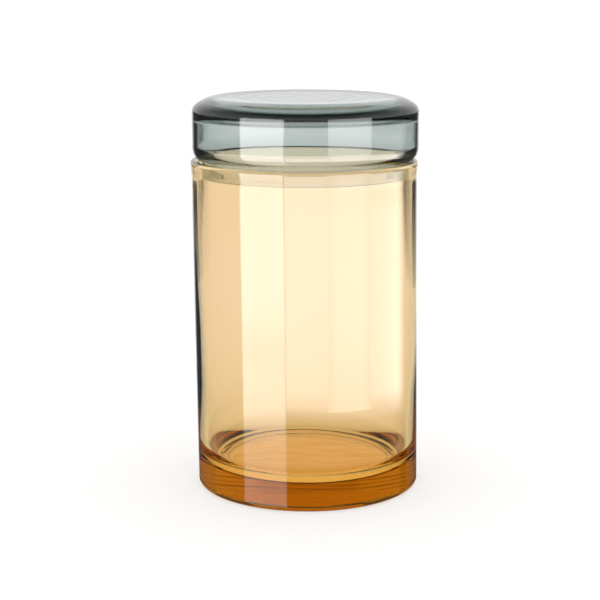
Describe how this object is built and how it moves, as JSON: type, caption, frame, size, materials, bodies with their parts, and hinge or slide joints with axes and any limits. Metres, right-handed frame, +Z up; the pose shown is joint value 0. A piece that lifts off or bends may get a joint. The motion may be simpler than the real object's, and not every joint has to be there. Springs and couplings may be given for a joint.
{
  "type": "apothecary jar",
  "caption": "Straight cylindrical glass storage jar with a heavy floor, a beaded rim and a hollow drum-shaped glass lid that lifts off.",
  "frame": {"origin": "centre of the circle that the jar stands on, on the surface under it", "axes": "+Z up along the jar's axis, through the mouth and the lid; the jar is round, so +X and +Y are any two directions across it"},
  "size_m": [0.1212, 0.1212, 0.21],
  "materials": {
    "amber_glass": "polished, pale amber",
    "smoke_glass": "polished, pale blue-grey smoke"
  },
  "bodies": {
    "jar": {"jar_body": "amber_glass"},
    "lid": {"lid": "smoke_glass"}
  },
  "joints": [
    {"name": "lid_lift", "type": "slide", "parent": "jar", "child": "lid", "axis": [0, 0, 1], "range_m": [0, 0.12]}
  ]
}
